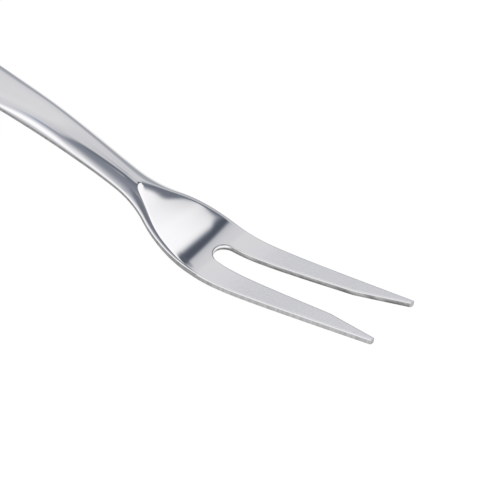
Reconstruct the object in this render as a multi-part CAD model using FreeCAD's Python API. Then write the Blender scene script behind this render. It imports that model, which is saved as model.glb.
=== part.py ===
import FreeCAD, Part
import math
import os

# Two-tined carving fork, one piece of polished stainless steel, in millimetres.
# +X runs from the handle's end to the tine tips, +Y to the left tine and Z up.
# The fork lies at rest on Z = 0, on its belly and on the handle's end.

# Overall sizes
length = 240.0
headWidth = 26.2
tipSpread = 22.4
neckWidth = 11.4
handleWidth = 22.0

# Stations along the fork, measured back from the tips
bellyFromTip = 59.4
headFromTip = 66.4
neckFromTip = 98.2
archFromTip = 70.0
kinkFromTip = 17.4
slotFromTip = 58.9
wallFullFromTip = 48.0

# Side view: the tines rise and the shoulder falls towards the belly
tineRise = 15.3
shoulderFall = 15.5
bellyBlend = 9.6
archBlend = 2.0

# Section: the crowned body has a thin wall at its edge and a power curve across
# the width above it, flat at the handle and round at the neck
sheetThickness = 1.9
handleWall = 0.9
handleCrown = 0.95
gripCrown = 2.55
neckCrown = 1.93
shoulderCrown = 2.7
handlePower = 5.0
neckPower = 2.0
handleCrownFromTip = 160.0
gripCrownFromTip = 130.0
shoulderCrownFromTip = 74.0
handlePowerFromTip = 160.0
neckPowerFromTip = 87.5

# Shoulder facet: it cuts the crown down to the sheet, and an arc lifts it to the neck
facetFromTip = 76.5
facetRadius = 130.0

# Plan view
neckRadius = 31.0
neckBlendRadius = 200.0
swellRadius = 300.0
endFromMaxWidth = 18.0
endCornerRadius = 8.0
endArcRadius = 17.0
slotRadius = 3.95
kinkHalfGap = 6.1
kinkRadius = 14.0
tipWidth = 1.7
tipCornerRadius = 0.7

# Broken edges of the rims
rimBevel = 0.35
underRimBevel = 0.3

# Sections of the loft: their spacing, the spline's poles on each side of the middle
# and how far the sections overhang the outline
stationStep = 5.0
polesPerSide = 7
overhang = 0.5

tipX = length / 2
endX = -length / 2
bellyX = tipX - bellyFromTip
headX = tipX - headFromTip
neckX = tipX - neckFromTip
archX = tipX - archFromTip
slotX = tipX - slotFromTip


def ease(t):
    t = min(1.0, max(0.0, t))
    return t * t * (3 - 2 * t)


# The neck arc turns away from the axis and the shoulder arc turns back to it.
neckHalf = neckWidth / 2
headHalf = headWidth / 2
flareTurn = 2 * math.atan2(headHalf - neckHalf, headX - neckX)
shoulderRadius = (headX - neckX) / math.sin(flareTurn) - neckRadius
flareX = neckX + neckRadius * math.sin(flareTurn)
flareY = neckHalf + neckRadius * (1 - math.cos(flareTurn))
tipHalf = tipSpread / 2

# Behind the neck a soft arc leads into the straight side of the handle, and a
# long arc turns that side parallel to the axis at the widest place. The side
# is the line that touches both arcs.
wideX = endX + endFromMaxWidth
wideY = handleWidth / 2
arcSum = neckBlendRadius + swellRadius
arcDrop = arcSum - (wideY - neckHalf)
handleTurn = math.asin(arcSum / math.hypot(neckX - wideX, arcDrop)) - math.atan2(arcDrop, neckX - wideX)
sideX = neckX - neckBlendRadius * math.sin(handleTurn)
sideY = neckHalf + neckBlendRadius * (1 - math.cos(handleTurn))
swellX = wideX + swellRadius * math.sin(handleTurn)
swellY = wideY - swellRadius * (1 - math.cos(handleTurn))


def halfWidth(x):
    if x > headX:
        return headHalf + (tipHalf - headHalf) * (x - headX) / (tipX - headX)
    if x > flareX:
        return headHalf - shoulderRadius + math.sqrt(shoulderRadius ** 2 - (headX - x) ** 2)
    if x > neckX:
        return neckHalf + neckRadius - math.sqrt(neckRadius ** 2 - (x - neckX) ** 2)
    if x > sideX:
        return neckHalf + neckBlendRadius - math.sqrt(neckBlendRadius ** 2 - (neckX - x) ** 2)
    if x > swellX:
        return sideY + (sideX - x) * math.tan(handleTurn)
    if x > wideX:
        return wideY - swellRadius + math.sqrt(swellRadius ** 2 - (x - wideX) ** 2)
    return wideY


# Side view: a hyperbola joins the two straight falls at the belly, and the
# handle's arch is taken off it, so large that the handle's end meets Z = 0.
rise = math.tan(math.radians(tineRise))
fall = math.tan(math.radians(shoulderFall))
meanSlope = (rise - fall) / 2
halfTurn = (rise + fall) / 2
bellyLow = bellyBlend * math.sqrt(halfTurn ** 2 - meanSlope ** 2)


def bend(x):
    u = x - bellyX
    return meanSlope * u + halfTurn * math.hypot(u, bellyBlend) - bellyLow


def pastArch(x):
    return archBlend * math.log1p(math.exp((archX - x) / archBlend))


archRadius = pastArch(endX) ** 2 / (2 * bend(endX))


def underside(x):
    return bend(x) - pastArch(x) ** 2 / (2 * archRadius)


def wallHeight(x):
    return handleWall + (sheetThickness - handleWall) * ease((x - neckX) / (neckFromTip - wallFullFromTip))


def crownHeight(x):
    grip = ease((x - tipX + handleCrownFromTip) / (handleCrownFromTip - gripCrownFromTip))
    neck = ease((x - tipX + gripCrownFromTip) / (gripCrownFromTip - neckFromTip))
    shoulder = ease((x - neckX) / (neckFromTip - shoulderCrownFromTip))
    height = handleCrown + (gripCrown - handleCrown) * grip
    return height + (neckCrown - gripCrown) * neck + (shoulderCrown - neckCrown) * shoulder


def crownPower(x):
    share = ease((x - tipX + handlePowerFromTip) / (handlePowerFromTip - neckPowerFromTip))
    return handlePower + (neckPower - handlePower) * share


def thickness(x, y):
    body = wallHeight(x) + crownHeight(x) * (1 - abs(y / halfWidth(x)) ** crownPower(x))
    facet = sheetThickness + max(tipX - facetFromTip - x, 0) ** 2 / (2 * facetRadius)
    return min(body, facet)


def section(x):
    # flat underside, upright sides and the crown as a spline whose poles crowd to the edges
    low = underside(x)
    half = halfWidth(x) + overhang
    turns = range(polesPerSide, -polesPerSide - 1, -1)
    reaches = [half * math.sin(math.pi / 2 * i / polesPerSide) for i in turns]
    poles = [FreeCAD.Vector(x, y, low + thickness(x, y)) for y in reaches]
    a = FreeCAD.Vector(x, -half, low)
    b = FreeCAD.Vector(x, half, low)
    top = Part.BSplineCurve()
    top.buildFromPoles(poles, False, 3)
    edges = [Part.makeLine(a, b), Part.makeLine(b, poles[0]), top.toShape(), Part.makeLine(poles[-1], a)]
    return Part.Wire(edges)


stationCount = int(math.ceil((length + 2 * overhang) / stationStep))
stations = [endX - overhang + (length + 2 * overhang) * i / stationCount for i in range(stationCount + 1)]
blank = Part.makeLoft([section(x) for x in stations], True, False)


def point(x, y):
    return FreeCAD.Vector(x, y, 0)


def arcBetween(start, centre, end):
    # the shorter arc about the centre
    middle = (start - centre + end - centre).normalize() * (start - centre).Length + centre
    return Part.Arc(start, middle, end).toShape()


def rounded(before, corner, after, radius):
    # tangent points and arc of a rounded corner
    u = (before - corner).normalize()
    v = (after - corner).normalize()
    angle = u.getAngle(v)
    start = corner + u * (radius / math.tan(angle / 2))
    end = corner + v * (radius / math.tan(angle / 2))
    centre = corner + (u + v).normalize() * (radius / math.sin(angle / 2))
    return start, arcBetween(start, centre, end), end


# The slot's straight side is the tangent from its round end to the kink.
kinkX = tipX - kinkFromTip
slotCentre = point(slotX, 0)
kink = point(kinkX, kinkHalfGap)
towardsKink = math.atan2(kinkHalfGap, kinkX - slotX)
tangentTurn = math.acos(slotRadius / math.hypot(kinkX - slotX, kinkHalfGap))
slotAngle = towardsKink + tangentTurn
slotTangent = slotCentre + point(math.cos(slotAngle), math.sin(slotAngle)) * slotRadius
innerTip = point(tipX, tipHalf - tipWidth)
outerTip = point(tipX, tipHalf)

# Handle's end: the side turns through a corner arc into the shallow end arc.
endCentreX = endX + endArcRadius
cornerCentreY = wideY - endCornerRadius
cornerReach = math.sqrt((endArcRadius - endCornerRadius) ** 2 - cornerCentreY ** 2)
cornerCentre = point(endCentreX - cornerReach, cornerCentreY)
endCentre = point(endCentreX, 0)
cornerTop = point(cornerCentre.x, wideY)
cornerJoin = endCentre + (cornerCentre - endCentre).normalize() * endArcRadius


def halfOutline():
    # left half of the outline, from the slot's round end to the handle's end
    neckCentre = point(neckX, neckHalf + neckRadius)
    shoulderCentre = point(headX, headHalf - shoulderRadius)
    blendCentre = point(neckX, neckHalf + neckBlendRadius)
    swellCentre = point(wideX, wideY - swellRadius)
    slotStart = slotCentre - point(slotRadius, 0)
    neck = point(neckX, neckHalf)
    head = point(headX, headHalf)
    flare = point(flareX, flareY)
    side = point(sideX, sideY)
    swell = point(swellX, swellY)
    wide = point(wideX, wideY)
    kinkStart, kinkArc, kinkEnd = rounded(slotTangent, kink, innerTip, kinkRadius)
    innerStart, innerArc, innerEnd = rounded(kinkEnd, innerTip, outerTip, tipCornerRadius)
    outerStart, outerArc, outerEnd = rounded(innerEnd, outerTip, head, tipCornerRadius)
    return [
        arcBetween(slotStart, slotCentre, slotTangent),
        Part.makeLine(slotTangent, kinkStart),
        kinkArc,
        Part.makeLine(kinkEnd, innerStart),
        innerArc,
        Part.makeLine(innerEnd, outerStart),
        outerArc,
        Part.makeLine(outerEnd, head),
        arcBetween(head, shoulderCentre, flare),
        arcBetween(flare, neckCentre, neck),
        arcBetween(neck, blendCentre, side),
        Part.makeLine(side, swell),
        arcBetween(swell, swellCentre, wide),
        Part.makeLine(wide, cornerTop),
        arcBetween(cornerTop, cornerCentre, cornerJoin),
        arcBetween(cornerJoin, endCentre, point(endX, 0)),
    ]


left = halfOutline()
right = [edge.mirror(point(0, 0), FreeCAD.Vector(0, 1, 0)) for edge in left]
outline = Part.Wire(Part.__sortEdges__(left + right))
depth = 4 * max(shoulderCrown + sheetThickness, underside(tipX))
plan = Part.Face(outline)
plan.translate(FreeCAD.Vector(0, 0, -depth / 2))
fork = blank.common(plan.extrude(FreeCAD.Vector(0, 0, depth))).removeSplitter().Solids[0]


def rimEdges(shape, above):
    # edges between the upright walls and the upper or the lower face
    rims = []
    for edge in shape.Edges:
        upright = 0
        facing = 0
        for face in shape.ancestorsOfType(edge, Part.Face):
            u0, u1, v0, v1 = face.ParameterRange
            normal = face.normalAt((u0 + u1) / 2, (v0 + v1) / 2)
            if abs(normal.z) < 0.05:
                upright += 1
            elif (normal.z > 0) == above:
                facing += 1
        if upright == 1 and facing == 1:
            rims.append(edge)
    return rims


fork = fork.makeChamfer(rimBevel, rimEdges(fork, True)).Solids[0]
fork = fork.makeChamfer(underRimBevel, rimEdges(fork, False)).Solids[0]

os.makedirs("parts", exist_ok=True)
fork.exportStep("parts/fork.step")
box = fork.optimalBoundingBox(True, False)
print("fork", fork.ShapeType, fork.isValid(), "solids", len(fork.Solids), "faces", len(fork.Faces))
print("box", round(box.XMin, 3), round(box.XMax, 3), round(box.YMin, 3), round(box.YMax, 3), round(box.ZMin, 3), round(box.ZMax, 3))
print("volume", round(fork.Volume, 1), "arch radius", round(archRadius, 1), "shoulder radius", round(shoulderRadius, 1))
print("swell", round(swellX, 2), round(swellY, 2), round(swellRadius, 1), "flare", round(flareX, 2), round(flareY, 2))
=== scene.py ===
import math

import bmesh
import bpy
import numpy as np
from mathutils import Matrix


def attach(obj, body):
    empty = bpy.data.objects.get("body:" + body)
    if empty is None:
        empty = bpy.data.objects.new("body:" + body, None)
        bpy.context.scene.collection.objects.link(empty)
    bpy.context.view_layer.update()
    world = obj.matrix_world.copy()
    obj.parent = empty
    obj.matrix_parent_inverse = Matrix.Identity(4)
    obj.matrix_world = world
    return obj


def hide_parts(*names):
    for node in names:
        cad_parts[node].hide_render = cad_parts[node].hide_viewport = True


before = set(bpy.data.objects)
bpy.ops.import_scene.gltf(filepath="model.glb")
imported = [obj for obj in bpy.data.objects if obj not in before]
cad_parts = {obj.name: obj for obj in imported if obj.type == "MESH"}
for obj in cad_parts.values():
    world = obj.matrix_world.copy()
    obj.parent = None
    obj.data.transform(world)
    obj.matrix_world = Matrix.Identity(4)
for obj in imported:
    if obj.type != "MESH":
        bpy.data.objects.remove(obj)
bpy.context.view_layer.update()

mm = 0.001

# The fork's shape in millimetres: stations are measured back from the tine tips.
# +X runs to the tips, +Y to the far tine, Z up, and the fork rests on Z = 0.
# The sizes are those of the part's source, up to the mesh's own ones at the end.
forkShape = {
    "length": 240.0, "headWidth": 26.2, "tipSpread": 22.4, "neckWidth": 11.4, "handleWidth": 22.0,
    "belly": 59.4, "head": 66.4, "neck": 98.2, "arch": 70.0, "kink": 17.4, "slot": 58.9, "wallFull": 48.0,
    "tineRise": 15.3, "shoulderFall": 15.5, "bellyBlend": 9.6, "archBlend": 2.0,
    "sheet": 1.9, "handleWall": 0.9, "facet": 76.5, "facetRadius": 130.0,
    "handleCrown": 0.95, "gripCrown": 2.55, "neckCrown": 1.93, "shoulderCrown": 2.7,
    "handleCrownFrom": 160.0, "gripCrownFrom": 130.0, "shoulderCrownFrom": 74.0,
    "handlePower": 5.0, "neckPower": 2.0, "handlePowerFrom": 160.0, "neckPowerFrom": 87.5,
    "neckRadius": 31.0, "neckBlendRadius": 200.0, "swellRadius": 300.0,
    "endStraight": 18.0, "endCornerRadius": 8.0, "endArcRadius": 17.0,
    "slotRadius": 3.95, "kinkHalfGap": 6.1, "kinkRadius": 14.0, "tipWidth": 1.7, "tipCornerRadius": 0.7,
    "underRimDrop": 0.3,
    # the mesh's own: its rim and its softened faces, its rows and columns, and where its finishes end
    "rimReach": 0.4, "rimDrop": 0.36, "facetBlend": 0.05,
    "edgeFall": 0.16, "edgeFallReach": 0.35, "slotGapFrom": 2.5, "slotGapGrowth": 0.4,
    "rowStep": 0.6, "topColumns": 36, "turnRows": 24, "tipRun": 1.2, "rimSteps": 7, "wallSteps": 4,
    "outlinePoints": 400, "roundOff": 1e-9,
    "rimPolished": 2, "tinePolished": 5, "tipBlankedRows": 12, "slotEnd": 2.6,
    "edgeMark": 0.10, "edgeMarkReach": 0.55,
}


def buildFork(shape):
    tipX = shape["length"] / 2
    endX = -tipX
    bellyX, headX, neckX, archX, slotX, kinkX = (
        tipX - shape[name] for name in ("belly", "head", "neck", "arch", "slot", "kink"))
    neckHalf, headHalf = shape["neckWidth"] / 2, shape["headWidth"] / 2
    tipHalf, wideHalf = shape["tipSpread"] / 2, shape["handleWidth"] / 2
    neckRadius, blendRadius, swellRadius = shape["neckRadius"], shape["neckBlendRadius"], shape["swellRadius"]
    slotRadius, reach = shape["slotRadius"], shape["rimReach"]
    quarter = math.pi / 2

    # plan: where each arc of the side meets the next
    flareTurn = 2 * math.atan2(headHalf - neckHalf, headX - neckX)
    shoulderRadius = (headX - neckX) / math.sin(flareTurn) - neckRadius
    flareX = neckX + neckRadius * math.sin(flareTurn)
    wideX = endX + shape["endStraight"]
    arcSum = blendRadius + swellRadius
    arcDrop = arcSum - (wideHalf - neckHalf)
    sideTurn = math.asin(arcSum / math.hypot(neckX - wideX, arcDrop)) - math.atan2(arcDrop, neckX - wideX)
    sideX = neckX - blendRadius * math.sin(sideTurn)
    sideY = neckHalf + blendRadius * (1 - math.cos(sideTurn))
    swellX = wideX + swellRadius * math.sin(sideTurn)

    def ease(t):
        # smooth step from 0 to 1
        t = np.clip(t, 0, 1)
        return t * t * (3 - 2 * t)

    def arcRise(radius, reach):
        # how far an arc leaves its tangent after going reach along it
        return radius - np.sqrt(np.maximum(radius ** 2 - reach ** 2, 0))

    def halfWidth(x):
        # straight tine side, shoulder arc, neck arc, blend arc, straight side, swell arc, widest part
        return np.select(
            [x > headX, x > flareX, x > neckX, x > sideX, x > swellX, x > wideX],
            [headHalf + (tipHalf - headHalf) * (x - headX) / (tipX - headX),
             headHalf - arcRise(shoulderRadius, headX - x),
             neckHalf + arcRise(neckRadius, x - neckX),
             neckHalf + arcRise(blendRadius, neckX - x),
             sideY + (sideX - x) * math.tan(sideTurn),
             wideHalf - arcRise(swellRadius, x - wideX)],
            wideHalf)

    # side view: a hyperbola joins the two straight falls at the belly, and the
    # handle's arch, a parabola that begins softly behind the belly, is taken off it
    rise, fall = math.tan(math.radians(shape["tineRise"])), math.tan(math.radians(shape["shoulderFall"]))
    meanSlope, halfTurn = (rise - fall) / 2, (rise + fall) / 2
    bellyLow = shape["bellyBlend"] * math.sqrt(halfTurn ** 2 - meanSlope ** 2)

    def bend(x):
        u = x - bellyX
        return meanSlope * u + halfTurn * np.hypot(u, shape["bellyBlend"]) - bellyLow

    def pastArch(x):
        return shape["archBlend"] * np.logaddexp(0, (archX - x) / shape["archBlend"])

    archRadius = pastArch(endX) ** 2 / (2 * bend(endX))

    def underside(x):
        return bend(x) - pastArch(x) ** 2 / (2 * archRadius)

    def climb(x, start, end, low, high):
        # smooth step from low to high between two stations measured back from the tips
        return low + (high - low) * ease((x - tipX + start) / (start - end))

    def topside(x, y, gap):
        # the lower of two faces with a small blend: the crowned body, a wall with a power curve of
        # the width over it, and the facet, the sheet's thickness that an arc lifts to the neck;
        # polishing lets the face fall softly, a bell curve of the gap to the nearest edge
        half = halfWidth(x)
        wall = climb(x, shape["neck"], shape["wallFull"], shape["handleWall"], shape["sheet"])
        grip, neck, shoulder = shape["gripCrown"], shape["neckCrown"], shape["shoulderCrown"]
        crown = climb(x, shape["handleCrownFrom"], shape["gripCrownFrom"], shape["handleCrown"], grip)
        crown = crown + climb(x, shape["gripCrownFrom"], shape["neck"], 0, neck - grip)
        crown = crown + climb(x, shape["neck"], shape["shoulderCrownFrom"], 0, shoulder - neck)
        power = climb(x, shape["handlePowerFrom"], shape["neckPowerFrom"],
                      shape["handlePower"], shape["neckPower"])
        body = wall + crown * (1 - np.abs(y / half) ** power)
        facet = shape["sheet"] + np.maximum(tipX - shape["facet"] - x, 0) ** 2 / (2 * shape["facetRadius"])
        soft = shape["facetBlend"]
        lower = np.minimum(body, facet) - soft * np.log1p(np.exp(-np.abs(body - facet) / soft))
        edgeFall = shape["edgeFall"] * np.exp(-(gap / shape["edgeFallReach"]) ** 2)
        return underside(x) + lower - edgeFall

    def slotEndGap(x):
        # the slot's round end is not polished over, so its gap to the edge grows towards the handle
        return shape["slotGapGrowth"] * np.maximum(slotX + shape["slotGapFrom"] - x, 0)

    def arcPoints(centre, radius, start, end, outward):
        # points of an arc between two angles, and their normals out of the metal
        angle = np.linspace(start, end, shape["outlinePoints"])
        spoke = np.stack([np.cos(angle), np.sin(angle)], 1)
        return np.array(centre) + radius * spoke, spoke * outward

    def linePoints(start, end):
        # points of a line that has the metal on its left
        start, end = np.array(start), np.array(end)
        along = (end - start) / np.hypot(*(end - start))
        t = np.linspace(0, 1, shape["outlinePoints"])[:, None]
        return start + t * (end - start), np.tile([along[1], -along[0]], (len(t), 1))

    def cornerPoints(before, corner, after, radius):
        # arc that touches both sides of a corner, going clockwise or anticlockwise as the corner does
        before, corner, after = (np.array(p, float) for p in (before, corner, after))
        u = (before - corner) / np.hypot(*(before - corner))
        v = (after - corner) / np.hypot(*(after - corner))
        half = math.acos(np.clip(u @ v, -1, 1)) / 2
        centre = corner + (u + v) / np.hypot(*(u + v)) * radius / math.sin(half)
        start, end = corner + u * radius / math.tan(half), corner + v * radius / math.tan(half)
        turn = u[1] * v[0] - u[0] * v[1]
        a0 = math.atan2(*(start - centre)[::-1])
        a1 = a0 + math.copysign(math.pi - 2 * half, turn)
        points, normals = arcPoints(centre, radius, a0, a1, 1 if turn > 0 else -1)
        return start, end, points, normals

    # the left half of the outline, from the slot's round end by the tip to the handle's end,
    # walked with the metal on the left
    kinkReach, kinkHalf = kinkX - slotX, shape["kinkHalfGap"]
    slotAngle = math.atan2(kinkHalf, kinkReach) + math.acos(slotRadius / math.hypot(kinkReach, kinkHalf))
    slotTangent = (slotX + slotRadius * math.cos(slotAngle), slotRadius * math.sin(slotAngle))
    kink, innerTip = (kinkX, kinkHalf), (tipX, tipHalf - shape["tipWidth"])
    outerTip, head = (tipX, tipHalf), (headX, headHalf)
    kinkStart, kinkEnd, *kinkArc = cornerPoints(slotTangent, kink, innerTip, shape["kinkRadius"])
    innerStart, innerEnd, *innerArc = cornerPoints(kinkEnd, innerTip, outerTip, shape["tipCornerRadius"])
    outerStart, outerEnd, *outerArc = cornerPoints(innerEnd, outerTip, head, shape["tipCornerRadius"])
    endCentreX = endX + shape["endArcRadius"]
    cornerY = wideHalf - shape["endCornerRadius"]
    cornerX = endCentreX - math.sqrt((shape["endArcRadius"] - shape["endCornerRadius"]) ** 2 - cornerY ** 2)
    joinAngle = math.atan2(cornerY, cornerX - endCentreX)
    innerSide = [
        arcPoints((slotX, 0), slotRadius, math.pi, slotAngle, -1),
        linePoints(slotTangent, kinkStart), kinkArc,
        linePoints(kinkEnd, innerStart), innerArc]
    outerSide = [
        outerArc, linePoints(outerEnd, head),
        arcPoints((headX, headHalf - shoulderRadius), shoulderRadius, quarter, quarter + flareTurn, 1),
        arcPoints((neckX, neckHalf + neckRadius), neckRadius, -quarter + flareTurn, -quarter, -1),
        arcPoints((neckX, neckHalf + blendRadius), blendRadius, -quarter, -quarter - sideTurn, -1),
        linePoints((sideX, sideY), (swellX, wideHalf - arcRise(swellRadius, swellX - wideX))),
        arcPoints((wideX, wideHalf - swellRadius), swellRadius, quarter - sideTurn, quarter, 1),
        linePoints((wideX, wideHalf), (cornerX, wideHalf)),
        arcPoints((cornerX, cornerY), shape["endCornerRadius"], quarter, joinAngle, 1),
        arcPoints((endCentreX, 0), shape["endArcRadius"], joinAngle, math.pi, 1)]

    def edgeAt(pieces, x):
        # the outline's points and normals whose inset by the rim's reach lies at these stations
        points = np.concatenate([p for p, n in pieces])
        normals = np.concatenate([n for p, n in pieces])
        inset = points - reach * normals
        order = np.argsort(inset[:, 0], kind="stable")
        table = np.hstack([points, normals])[order]
        found = np.stack([np.interp(x, inset[order, 0], column) for column in table.T], 1)
        found[:, 2:] /= np.hypot(found[:, 2], found[:, 3])[:, None]
        return found[:, :2], found[:, 2:]

    # stations: close together round the handle's end, the slot's end and the tine tips
    lowX, highX = endX + reach, tipX - reach
    slotStartX = slotX - slotRadius - reach
    turn = np.linspace(0, quarter, shape["turnRows"] + 1)
    endRun, tipRun, slotRun = cornerX - lowX, shape["tipRun"], slotRadius + reach

    def even(start, end):
        # stations about a row's step apart
        return np.linspace(start, end, int(round((end - start) / shape["rowStep"])) + 1)

    stations = np.concatenate([
        lowX + endRun * (1 - np.cos(turn)), even(lowX + endRun, slotStartX)[1:],
        (slotStartX + slotRun * (1 - np.cos(turn)))[1:], even(slotX, highX - tipRun)[1:],
        (highX - tipRun * (1 - np.sin(turn)))[1:]])
    openX = stations[stations >= slotStartX - shape["roundOff"]]
    outerEdge, outerNormal = edgeAt(outerSide, stations)
    innerEdge, innerNormal = edgeAt(innerSide, openX)
    outerInset = outerEdge - reach * outerNormal
    innerInset = innerEdge - reach * innerNormal
    outerInset[0] = (lowX, 0)
    innerInset[0] = (slotStartX, 0)
    innerY = np.concatenate([np.zeros(len(stations) - len(openX)), innerInset[:, 1]])
    outerY = outerInset[:, 1]

    # one half of a face: rows at the stations, columns crowded to the inner and the outer edge
    t = (1 - np.cos(np.linspace(0, math.pi, shape["topColumns"] + 1))) / 2
    gridX = np.repeat(stations[:, None], len(t), 1)
    gridY = innerY[:, None] + (outerY - innerY)[:, None] * t

    # the gap to the nearest edge: the side, the handle's end, the tip or the slot
    gap = np.minimum(outerY[:, None] - gridY, np.minimum(gridX - lowX, highX - gridX)) + reach
    gap = np.minimum(gap, gridY - innerY[:, None] + reach + slotEndGap(gridX))
    topGrid = np.stack([gridX, gridY, topside(gridX, gridY, gap)], 2)
    underGrid = np.stack([gridX, gridY, underside(gridX)], 2)
    topDepth = shape["edgeMark"] * np.exp(-(gap / shape["edgeMarkReach"]) ** 2)

    # the rim runs along the inner edge, across the blunt tip and back along the outer edge
    tipY = topGrid[-1, 1:-1, 1]
    tipEdge = np.stack([np.full_like(tipY, tipX), tipY], 1)
    tipNormal = np.tile([1.0, 0.0], (len(tipY), 1))
    edge = np.concatenate([innerEdge, tipEdge, outerEdge[::-1]])
    normal = np.concatenate([innerNormal, tipNormal, outerNormal[::-1]])
    inset = np.concatenate([innerInset, np.stack([tipEdge[:, 0] - reach, tipY], 1), outerInset[::-1]])
    edge[0], normal[0] = (slotX - slotRadius, 0), (1, 0)
    edge[-1], normal[-1] = (endX, 0), (-1, 0)

    def roll(start, corner, end, steps):
        # quadratic curve from start to end, tangent to both faces that meet in the corner
        t = np.linspace(0, 1, steps + 1)[None, :, None]
        return (1 - t) ** 2 * start[:, None] + 2 * t * (1 - t) * corner[:, None] + t ** 2 * end[:, None]

    def raised(plan, z):
        # points in plan lifted to their heights
        return np.column_stack([plan, z])

    alongSlot = np.arange(len(edge)) < len(innerEdge)
    topZ = topside(edge[:, 0], edge[:, 1], alongSlot * slotEndGap(edge[:, 0]))
    lowZ = underside(edge[:, 0])
    insetZ = topside(inset[:, 0], inset[:, 1], reach + alongSlot * slotEndGap(inset[:, 0]))
    upper = roll(raised(inset, insetZ), raised(edge, topZ),
                 raised(edge, topZ - shape["rimDrop"]), shape["rimSteps"])
    lower = roll(raised(edge, lowZ + shape["underRimDrop"]), raised(edge, lowZ),
                 raised(inset, underside(inset[:, 0])), shape["rimSteps"])
    t = np.linspace(0, 1, shape["wallSteps"] + 1)[None, 1:-1, None]
    wall = upper[:, -1:] * (1 - t) + lower[:, :1] * t
    rim = np.concatenate([upper, wall, lower], 1)
    # depth down the rim: 0 on the upper face, 1 on the lower one
    depth = np.linspace(0, 1, rim.shape[1]) * np.ones((len(rim), 1))
    # finishes: polished faces and tips, blanked outer wall, punched slot wall
    polished, blanked, punched = 0, 1, 2
    wallFinish = np.full((len(rim) - 1, rim.shape[1] - 1), blanked)
    wallFinish[:len(innerEdge) - shape["tipBlankedRows"]] = punched
    alongTines = edge[:-1, 0] > slotX - slotRadius + shape["slotEnd"]
    wallFinish[alongTines, :shape["tinePolished"]] = polished
    wallFinish[len(innerEdge):, :shape["rimPolished"]] = polished
    faces = [(topGrid, False, polished, topDepth), (underGrid, True, polished, 1)]
    return faces + [(rim, True, wallFinish, depth)]


def gridFaces(rows, columns, base=0):
    # the four corners of each face of a grid, by their numbers counted from a base
    corner = base + np.arange(rows * columns).reshape(rows, columns)
    four = [corner[:-1, :-1], corner[1:, :-1], corner[1:, 1:], corner[:-1, 1:]]
    return np.stack(four, 2).reshape(-1, 4)


def meshFromGrids(name, grids):
    # each grid is rows x columns x 3, with its turn, its material numbers and its depths down the rim
    points, faces, finishes, depths, base = [], [], [], [], 0
    for grid, flip, finish, depth in grids:
        rows, columns = grid.shape[:2]
        quad = gridFaces(rows, columns, base)
        faces.append(quad[:, ::-1] if flip else quad)
        finishes.append(np.broadcast_to(finish, (rows - 1, columns - 1)).ravel())
        depths.append(np.broadcast_to(depth, (rows, columns)).ravel())
        points.append(grid.reshape(-1, 3))
        base += rows * columns
    points, faces, finishes, depths = (np.concatenate(part) for part in (points, faces, finishes, depths))
    mesh = bpy.data.meshes.new(name)
    mesh.vertices.add(len(points))
    mesh.vertices.foreach_set("co", (points * mm).astype(np.float32).ravel())
    mesh.loops.add(faces.size)
    mesh.loops.foreach_set("vertex_index", faces.astype(np.int32).ravel())
    mesh.polygons.add(len(faces))
    mesh.polygons.foreach_set("loop_start", np.arange(0, faces.size, 4, dtype=np.int32))
    mesh.polygons.foreach_set("material_index", finishes.astype(np.int32))
    mesh.polygons.foreach_set("use_smooth", np.ones(len(faces), bool))
    mesh.attributes.new("rimDepth", "FLOAT", "POINT").data.foreach_set("value", depths.astype(np.float32))
    mesh.update(calc_edges=True)
    work = bmesh.new()
    work.from_mesh(mesh)
    bmesh.ops.remove_doubles(work, verts=work.verts, dist=0.001 * mm)
    bmesh.ops.recalc_face_normals(work, faces=work.faces)
    openEdges = sum(not e.is_manifold for e in work.edges)
    work.to_mesh(mesh)
    work.free()
    print(name, "faces", len(mesh.polygons), "open edges", openEdges)
    piece = bpy.data.objects.new(name, mesh)
    bpy.context.scene.collection.objects.link(piece)
    return piece


leftHalf = buildFork(forkShape)
mirrored = np.array([1.0, -1.0, 1.0])
rightHalf = [(grid * mirrored, not flip, finish, depth) for grid, flip, finish, depth in leftHalf]
fork = meshFromGrids("carving_fork", leftHalf + rightHalf)

# Steel: a mirror on the handle and shoulder that turns to a fine satin on the tines
steelLook = {
    "colour": (0.72, 0.715, 0.73), "haze": (0.70, 0.697, 0.712), "hazeSize": 45.0,
    "mirrorRoughness": 0.015, "polishUneven": 0.01, "satinRoughness": 0.30, "satinUneven": 0.05,
    "satinFrom": 0.056, "satinTo": 0.078, "satinPaler": 1.09, "rimSatin": 0.35, "rimSatinDepth": (0.02, 0.12),
    "brushAngle": 74.0, "brushSize": 1800.0, "brushStretch": 0.03,
    "brushDepth": 0.000006, "brushStrength": 0.25,
    "buffAngle": 0.0, "buffSize": 700.0, "buffStretch": 0.03, "buffDepth": 0.000003, "buffStrength": 0.05}
blankedLook = {
    "light": (0.57, 0.565, 0.57), "dark": (0.37, 0.367, 0.37),
    "wornByMarks": 0.6, "wornByDepth": 0.4, "wornDepth": (0.2, 0.9),
    "handleShade": 0.64, "handleShadeSpan": (0.056, 0.070), "streakSize": 900.0, "streakStretch": 0.12,
    "roughness": (0.24, 0.42), "depth": 0.00003, "strength": 0.35}
punchedLook = {
    "light": (0.58, 0.575, 0.575), "dark": (0.19, 0.19, 0.19), "mottleSize": 420.0, "mottleStretch": 0.45,
    "tornByMottle": (-0.2, 0.6), "tornByDepth": 0.75, "tornDepth": (0.3, 0.6),
    "burnishedHighlight": (0.95, 0.95, 0.95), "burnishedRoughness": 0.12, "roundEndSpan": (0.0605, 0.0590),
    "ringTop": (0.10, 0.16), "ringFoot": (0.44, 0.52), "edge": (0.20, 0.20, 0.21), "edgeFoot": (0.08, 0.12),
    "roughness": (0.28, 0.5), "depth": 0.00005, "strength": 0.5}


def fill(socket, value):
    # a socket takes another node's output as a link, and a number or colour as its own value
    if isinstance(value, bpy.types.NodeSocket):
        socket.id_data.links.new(value, socket)
    else:
        socket.default_value = value


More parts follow.
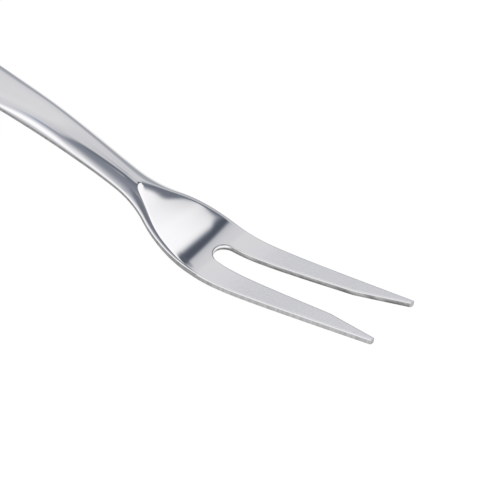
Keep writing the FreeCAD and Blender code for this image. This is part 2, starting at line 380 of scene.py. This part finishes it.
def nodeMaker(material):
    # a helper that adds a node to this material with its settings, values and links
    def add(kind, inputs=None, **settings):
        node = material.node_tree.nodes.new("ShaderNode" + kind)
        for key, value in settings.items():
            setattr(node, key, value)
        for key, value in (inputs or {}).items():
            fill(node.inputs[key], value)
        return node

    return add


def newMetal(name):
    # a metal's material and shader, its node helper, the place on the piece, its X and the rim's depth
    material = bpy.data.materials.new(name)
    material.use_nodes = True
    shader = material.node_tree.nodes["Principled BSDF"]
    shader.inputs["Metallic"].default_value = 1
    add = nodeMaker(material)
    place = add("TexCoord").outputs["Object"]
    x = add("SeparateXYZ", {0: place}).outputs["X"]
    depth = add("Attribute", attribute_name="rimDepth").outputs["Fac"]
    return material, shader, add, place, x, depth


def dress(shader, colour, rough, normal):
    # the three things that a metal's nodes work out
    for name, value in (("Base Color", colour), ("Roughness", rough), ("Normal", normal)):
        fill(shader.inputs[name], value)


def streaks(add, place, size, stretch, angle):
    # noise drawn out along a turned X, in places a few hundredths of a millimetre wide
    turned = add("Mapping", {"Vector": place, "Rotation": (0, 0, math.radians(angle)),
                             "Scale": (1 / stretch, 1, 1)}, vector_type="TEXTURE").outputs[0]
    return add("TexNoise", {"Vector": turned, "Scale": size, "Detail": 2.0, "Roughness": 0.6}).outputs["Fac"]


def ranged(add, value, low, high, fromLow=0.3, fromHigh=0.7):
    # a value carried from one range to another; a noise stays mostly between 0.3 and 0.7
    return add("MapRange", {0: value, 1: fromLow, 2: fromHigh, 3: low, 4: high}).outputs[0]


def worked(add, operation, first, second):
    # the sum, product or larger one of two numbers
    return add("Math", {0: first, 1: second}, operation=operation).outputs[0]


def mixed(add, share, low, high):
    # from the low colour at a share of 0 to the high one at 1
    low, high = (c if isinstance(c, bpy.types.NodeSocket) else (*c, 1) for c in (low, high))
    return add("Mix", {0: share, 6: low, 7: high}, data_type="RGBA").outputs[2]


def scaled(add, colour, share):
    # a colour made darker or lighter by a share
    return add("VectorMath", {0: colour, "Scale": share}, operation="SCALE").outputs[0]


def polishedSteel(look):
    material, shader, add, place, x, depth = newMetal("polishedSteel")
    satin = add("MapRange", {0: x, 1: look["satinFrom"], 2: look["satinTo"], 3: 0, 4: 1},
                interpolation_type="SMOOTHSTEP").outputs[0]
    # the rolled rim is buffed again, so the satin stops a little way down it
    buffedRim = ranged(add, depth, 1, look["rimSatin"], *look["rimSatinDepth"])
    satin = worked(add, "MULTIPLY", satin, buffedRim)
    cloud = add("TexNoise", {"Vector": place, "Scale": look["hazeSize"], "Detail": 3.0}).outputs["Fac"]
    colour = mixed(add, ranged(add, cloud, 0, 1), look["colour"], look["haze"])
    # the brushed steel is a little paler
    paler = ranged(add, satin, 1, look["satinPaler"], 0, 1)
    # satin strokes run across the tines, buffing lines along the handle
    brush = streaks(add, place, look["brushSize"], look["brushStretch"], look["brushAngle"])
    buff = streaks(add, place, look["buffSize"], look["buffStretch"], look["buffAngle"])
    mirrorRough = ranged(add, cloud, look["mirrorRoughness"], look["mirrorRoughness"] + look["polishUneven"])
    satinRough = ranged(add, brush, look["satinRoughness"] - look["satinUneven"],
                        look["satinRoughness"] + look["satinUneven"])
    rough = add("Mix", {0: satin, 2: mirrorRough, 3: satinRough}).outputs[0]
    brushed = add("Bump", {"Strength": worked(add, "MULTIPLY", satin, look["brushStrength"]),
                           "Distance": look["brushDepth"], "Height": brush}).outputs[0]
    buffed = add("Bump", {"Strength": look["buffStrength"], "Distance": look["buffDepth"], "Height": buff,
                          "Normal": brushed}).outputs[0]
    dress(shader, scaled(add, colour, paler), rough, buffed)
    return material


def blankedSteel(look):
    # the sheared outer wall: fine upright marks, lighter and darker
    material, shader, add, place, x, depth = newMetal("blankedSteel")
    upright = add("Mapping", {"Vector": place, "Scale": (1, 1, look["streakStretch"])}).outputs[0]
    marks = add("TexNoise", {"Vector": upright, "Scale": look["streakSize"], "Detail": 3.0}).outputs["Fac"]
    worn = worked(add, "ADD", ranged(add, marks, 0, look["wornByMarks"]),
                  ranged(add, depth, 0, look["wornByDepth"], *look["wornDepth"]))
    colour = mixed(add, worn, look["light"], look["dark"])
    # painted shade: the wall is darker behind the tines, standing in for the fork's shadow that it reflects
    # from the floor
    shade = ranged(add, x, look["handleShade"], 1, *look["handleShadeSpan"])
    bump = add("Bump", {"Strength": look["strength"], "Distance": look["depth"], "Height": marks}).outputs[0]
    dress(shader, scaled(add, colour, shade), ranged(add, marks, *look["roughness"]), bump)
    return material


def punchedSteel(look):
    # the punched slot wall: a light burnished top and a dark torn part below, both mottled
    material, shader, add, place, x, depth = newMetal("punchedSteel")
    drawn = add("Mapping", {"Vector": place, "Scale": (look["mottleStretch"], 1, 1)}).outputs[0]
    mottle = add("TexNoise", {"Vector": drawn, "Scale": look["mottleSize"], "Detail": 4.0,
                              "Roughness": 0.65}).outputs["Fac"]
    torn = worked(add, "ADD", ranged(add, mottle, *look["tornByMottle"]),
                  ranged(add, depth, 0, look["tornByDepth"], *look["tornDepth"]))
    colour = mixed(add, torn, look["light"], look["dark"])
    # at the slot's round end: a burnished ring with a painted highlight in a near-white colour, under a
    # painted dark edge
    roundEnd = ranged(add, x, 0, 1, *look["roundEndSpan"])
    highlightRing = worked(add, "MULTIPLY", ranged(add, depth, 0, 1, *look["ringTop"]),
                  ranged(add, depth, 1, 0, *look["ringFoot"]))
    highlightRing = worked(add, "MULTIPLY", highlightRing, roundEnd)
    # painted dark edge: a dark line along the top of the wall, a painted reflection of dark on the rounded
    # rim
    rim = worked(add, "MULTIPLY", ranged(add, depth, 1, 0, *look["edgeFoot"]), roundEnd)
    colour = mixed(add, rim, mixed(add, highlightRing, colour, look["burnishedHighlight"]), look["edge"])
    mottled = ranged(add, mottle, *look["roughness"])
    rough = add("Mix", {0: highlightRing, 2: mottled, 3: look["burnishedRoughness"]}).outputs[0]
    bump = add("Bump", {"Strength": look["strength"], "Distance": look["depth"], "Height": mottle}).outputs[0]
    dress(shader, colour, rough, bump)
    return material


for finish in (polishedSteel(steelLook), blankedSteel(blankedLook), punchedSteel(punchedLook)):
    fork.data.materials.append(finish)
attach(fork, "root")
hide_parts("fork")
print("fork built")

# Studio: white paper under the fork, and white light from all round
studio = {"floorSize": 6.0, "paperColour": 0.85, "paperGlow": 1.05, "shadowShare": 0.10, "worldStrength": 1.0}


def stageMaterial(name):
    # a material with an empty tree, and its node helper
    material = bpy.data.materials.new(name)
    material.use_nodes = True
    material.node_tree.nodes.clear()
    return material, nodeMaker(material)


def whitePaper(look):
    # the camera and the metal see white paper that keeps a share of the object's shadow
    material, add = stageMaterial("whitePaper")
    grey = look["paperColour"]
    paper = add("BsdfDiffuse", {"Color": (grey, grey, grey, 1)}).outputs[0]
    glow = add("Emission", {"Strength": look["paperGlow"]}).outputs[0]
    rays = add("LightPath").outputs
    seen = worked(add, "MAXIMUM", rays["Is Camera Ray"], rays["Is Glossy Ray"])
    seen = worked(add, "MAXIMUM", seen, rays["Is Transmission Ray"])
    shaded = add("MixShader", {0: look["shadowShare"], 1: glow, 2: paper}).outputs[0]
    add("OutputMaterial", {"Surface": add("MixShader", {0: seen, 1: paper, 2: shaded}).outputs[0]})
    return material


def flatPanel(name, corners, material):
    # one flat face that belongs to the stage
    mesh = bpy.data.meshes.new(name)
    mesh.from_pydata(corners, [], [(0, 1, 2, 3)])
    mesh.materials.append(material)
    panel = bpy.data.objects.new(name, mesh)
    bpy.context.scene.collection.objects.link(panel)
    return panel


def onlyForMetal(piece):
    # glossy rays see it; the camera, soft light and shadows do not
    piece.visible_camera = piece.visible_diffuse = piece.visible_shadow = False


half = studio["floorSize"] / 2
flatPanel("paper_floor", [(-half, -half, 0), (half, -half, 0), (half, half, 0), (-half, half, 0)],
          whitePaper(studio))
world = bpy.data.worlds.new("studioWorld")
bpy.context.scene.world = world
world.use_nodes = True
world.node_tree.nodes["Background"].inputs["Color"].default_value = (1, 1, 1, 1)
world.node_tree.nodes["Background"].inputs["Strength"].default_value = studio["worldStrength"]

# Light tent: a ceiling that only the metal sees. Its glow is white to the right and the front,
# grey paper at the back left, and dark along the tent's seam and round the camera's opening.
# A least-squares program fitted 34 of its values to the brightness of the photographed steel:
# 26 stand as it printed them, 8 were changed by hand since, and the others were set by hand, from
# colours compared with the photograph's at a few dozen places.
tent = {
    "height": 0.8, "reach": 8.0, "white": 1.385,
    # as fitted: grey paper on the left, and the dark middle that clears towards the front
    "paper": 0.873, "dip": 0.439, "dipY": -0.127, "dipWidth": 0.108, "whiteY": -0.430, "whiteSoft": 0.054,
    "seamShade": 0.300, "dark": 0.118, "murk": 0.337, "murkFrom": 0.700, "murkSpan": 0.731,
    "clearFrom": 0.020, "clearSpan": 0.738,
    # as fitted: where the dark middle begins and ends
    "leftX": -0.152, "bumpX": 0.057, "bumpY": 0.490, "bumpWidth": 0.094,
    "bandX": 0.100, "bandY": 0.721, "bandWidth": 0.077, "rightX": -0.059, "rightLean": 0.072,
    "lowY": 0.234, "lowSoft": 0.013, "topY": 0.646, "edge": 0.006,
    # fitted, then changed: the seam's reach, the back wall and the fold in the cloth
    "seamReach": 0.040, "topSlope": -0.392, "topSoft": 0.0006, "beyond": 0.230,
    "fold": 0.500, "foldX": 0.000, "foldWide": 0.045, "foldDeep": 0.020,
    # set one by one: the far wall, the small dents of the back wall's foot, and the middle's right corner
    "farther": 0.72, "fartherSpan": 0.14, "blobX": 0.034, "blobWide": 0.016, "blobDeep": 0.0050,
    "hookFrom": -0.008, "hookTo": -0.055, "hookDeep": 0.0028,
    "cornerX": 0.014, "cornerY": 0.647, "cornerSoft": 0.01, "leanFrom": 0.5,
    # set one by one: a sunny patch on the paper, the dip that fades to the left, and the room beyond the
    # cloth
    "sunny": 0.085, "sunnyX": -0.24, "sunnyY": 0.55, "sunnySoft": 0.1, "sunnyDeep": 0.30,
    "dipFadeFrom": -0.46, "dipFadeTo": -0.17,
    "room": 0.42, "roomX": -0.50, "roomY": 0.15, "roomFrom": 0.90, "roomSpan": 1.2,
    # set one by one: shade is bluer, and a cold patch lies in the dip
    "shadeTint": (-0.16, -0.05, 0.21), "shadePower": 3, "cold": 0.55, "coldX": -0.28, "coldWide": 0.10,
    # steps and stops of the grid by turns, closest where the fork's faces look
    "linesX": (20, -2.6, 20, -0.7, 45, -0.25, 123, 0.12, 38, 0.5, 22, 2.6, 20),
    "linesY": (20, -2.6, 14, -1.2, 150, 0.6, 80, 0.67, 44, 1.2, 14, 2.6, 20)}


def bell(value, width):
    # 1 in the middle, and falling away on both sides
    return np.exp(-(value / width) ** 2)


def tentGlow(x, y, t):
    # grey paper on the left, a dark opening in the middle that clears towards the front, and white
    # cloth on the right, all behind a dim back wall; each edge is a soft step, each lean a bell curve
    def step(value, width):
        return 0.5 + 0.5 * np.tanh(value / (2 * width))

    def ease(u):
        u = np.clip(u, 0, 1)
        return u * u * (3 - 2 * u)

    sunny = t["sunny"] * ease((t["sunnyX"] - x) / t["sunnySoft"]) * bell(y - t["sunnyY"], t["sunnyDeep"])
    dip = t["dip"] * ease((x - t["dipFadeFrom"]) / (t["dipFadeTo"] - t["dipFadeFrom"]))
    left = t["paper"] + sunny - dip * bell(y - t["dipY"], t["dipWidth"])
    left = t["white"] + (left - t["white"]) * step(y - t["whiteY"], t["whiteSoft"])
    gloom = t["dark"] + (t["murk"] - t["dark"]) * ease((t["murkFrom"] - y) / t["murkSpan"])
    gloom = gloom + (t["white"] - gloom) * ease((t["clearFrom"] - y) / t["clearSpan"])
    cloth = gloom + (t["white"] - gloom) * step(y - t["lowY"], t["lowSoft"])
    top = t["topY"] + t["topSlope"] * x - t["blobDeep"] * bell(x - t["blobX"], t["blobWide"])
    top = top - t["hookDeep"] * ease((x - t["hookFrom"]) / (t["hookTo"] - t["hookFrom"]))
    fold = t["fold"] * bell(x - t["foldX"], t["foldWide"])
    cloth = cloth - fold * np.exp(np.minimum(y - top, 0) / t["foldDeep"])
    past = step(y - top, t["topSoft"])
    beyond = t["beyond"] + (t["farther"] - t["beyond"]) * ease((y - top) / t["fartherSpan"])
    gloom, cloth = gloom + (beyond - gloom) * past, cloth + (beyond - cloth) * past
    leftX = (t["leftX"] + t["bumpX"] * bell(y - t["bumpY"], t["bumpWidth"])
             + t["bandX"] * bell(y - t["bandY"], t["bandWidth"]))
    rightX = t["rightX"] + t["rightLean"] * (y - t["leanFrom"])
    rightX = rightX + t["cornerX"] * ease((y - t["cornerY"]) / t["cornerSoft"])
    seam = t["seamShade"] * (1 - bell(y - t["dipY"], t["dipWidth"]))
    left = left - seam * np.exp(np.minimum(x - leftX, 0) / t["seamReach"])
    glow = left + (gloom - left) * step(x - leftX, t["edge"])
    glow = glow + (cloth - glow) * step(x - rightX, t["edge"])
    # the room beyond the cloth is dimmer, so that the steel has tone from the other sides too
    away = np.hypot(x - t["roomX"], y - t["roomY"])
    return glow * (1 - t["room"] * ease((away - t["roomFrom"]) / t["roomSpan"]))


def tentColours(x, y, t):
    # the glow, tinted: the darker the cloth, the bluer, and a cold patch in the dip on the left
    glow = tentGlow(x, y, t).ravel()
    shade = (glow - t["dark"]) / (t["white"] - t["dark"])
    cold = np.exp(-((x - t["coldX"]) / t["coldWide"]) ** 2 - ((y - t["dipY"]) / t["dipWidth"]) ** 2)
    blue = (1 - shade) ** t["shadePower"] + t["cold"] * cold.ravel()
    return glow[:, None] * (1 + blue[:, None] * np.array([*t["shadeTint"], 0]))


def lines(*stops):
    # grid lines from stop to stop, each stretch in its own number of steps
    runs = [np.linspace(stops[k], stops[k + 2], stops[k + 1] + 1)[:-1] for k in range(0, len(stops) - 2, 2)]
    return np.concatenate(runs + [[stops[-1]]])


def tentCloth():
    # the glow painted on the mesh, as light
    material, add = stageMaterial("tentCloth")
    layer = add("Attribute", attribute_name="glow").outputs["Color"]
    add("OutputMaterial", {"Surface": add("Emission", {"Color": layer}).outputs[0]})
    material.cycles.emission_sampling = "NONE"
    return material


def hangTent(t):
    # a flat grid at the ceiling's height, whose outermost lines hang down to the floor
    reach = t["reach"]
    x, y = np.meshgrid(lines(-reach, *t["linesX"], reach), lines(-reach, *t["linesY"], reach), indexing="ij")
    rimHangs = (np.abs(x) == reach) | (np.abs(y) == reach)
    points = np.stack([x, y, np.where(rimHangs, 0, t["height"])], 2).reshape(-1, 3)
    facesDown = gridFaces(*x.shape)[:, [0, 3, 2, 1]]
    mesh = bpy.data.meshes.new("light_tent")
    mesh.from_pydata(points.tolist(), [], facesDown.tolist())
    layer = mesh.attributes.new("glow", "FLOAT_COLOR", "POINT")
    layer.data.foreach_set("color", tentColours(x, y, t).astype(np.float32).ravel())
    mesh.materials.append(tentCloth())
    ceiling = bpy.data.objects.new("light_tent", mesh)
    bpy.context.scene.collection.objects.link(ceiling)
    onlyForMetal(ceiling)


hangTent(tent)

# Flags: small grey cards with soft edges, low over the fork, that only its polished steel reflects
flags = [
    {"name": "shoulder_flag", "x": (0.021, 0.046), "y": (-0.0140, -0.0030), "z": (0.030, 0.030),
     "soft": 0.002, "colour": (0.235, 0.25, 0.285)},
    {"name": "belly_flag", "x": (0.0468, 0.0530), "y": (0.0129, 0.0129), "z": (0.0308, 0.0500),
     "soft": 0.002, "colour": (0.15, 0.16, 0.185)}]


def softCard(flag):
    # opaque inside, with a smooth fade to clear along its four edges and none through its thickness
    material, add = stageMaterial(flag["name"])
    apart = add("SeparateXYZ", {0: add("TexCoord").outputs["Object"]}).outputs
    cover = 1
    for axis in "xyz":
        low, high = flag[axis]
        ends = [(low, low + flag["soft"]), (high, high - flag["soft"])] if high > low else []
        for start, end in ends:
            fade = add("MapRange", {0: apart[axis.upper()], 1: start, 2: end},
                       interpolation_type="SMOOTHSTEP").outputs[0]
            cover = worked(add, "MULTIPLY", cover, fade)
    clear = add("BsdfTransparent").outputs[0]
    glow = add("Emission", {"Color": (*flag["colour"], 1)}).outputs[0]
    add("OutputMaterial", {"Surface": add("MixShader", {0: cover, 1: clear, 2: glow}).outputs[0]})
    material.cycles.emission_sampling = "NONE"
    return material


for flag in flags:
    (x0, x1), (y0, y1), (z0, z1) = flag["x"], flag["y"], flag["z"]
    corners = [(x0, y0, z0), (x0, y1, z1), (x1, y1, z1), (x1, y0, z0)]
    onlyForMetal(flatPanel(flag["name"], corners, softCard(flag)))
print("studio built")

# Camera: above the near side and beyond the tips, looking back and down at the fork. A fit to the
# photographed outline gave its place, direction and lens. Angles are in degrees.
view = {"target": (0.06497, 0.0, 0.01067), "distance": 0.72365, "azimuth": 30.3875, "elevation": 43.1128,
        "roll": 9.6590, "lens": 182.7, "sensorWidth": 36, "nearest": 0.05}


def placeCamera(v):
    # stands off from its target by the distance, after its turns about Z, about X and about its own line
    camera = bpy.data.objects.new("camera", bpy.data.cameras.new("camera"))
    bpy.context.scene.collection.objects.link(camera)
    camera.data.sensor_width = v["sensorWidth"]
    camera.data.lens = v["lens"]
    camera.data.clip_start = v["nearest"]
    turned = (Matrix.Rotation(math.radians(v["azimuth"]), 4, "Z")
              @ Matrix.Rotation(math.radians(90 - v["elevation"]), 4, "X")
              @ Matrix.Rotation(math.radians(v["roll"]), 4, "Z"))
    camera.matrix_world = Matrix.Translation(v["target"]) @ turned @ Matrix.Translation((0, 0, v["distance"]))
    bpy.context.scene.camera = camera


placeCamera(view)
print("camera placed")

bpy.context.scene.view_settings.view_transform = "Standard"
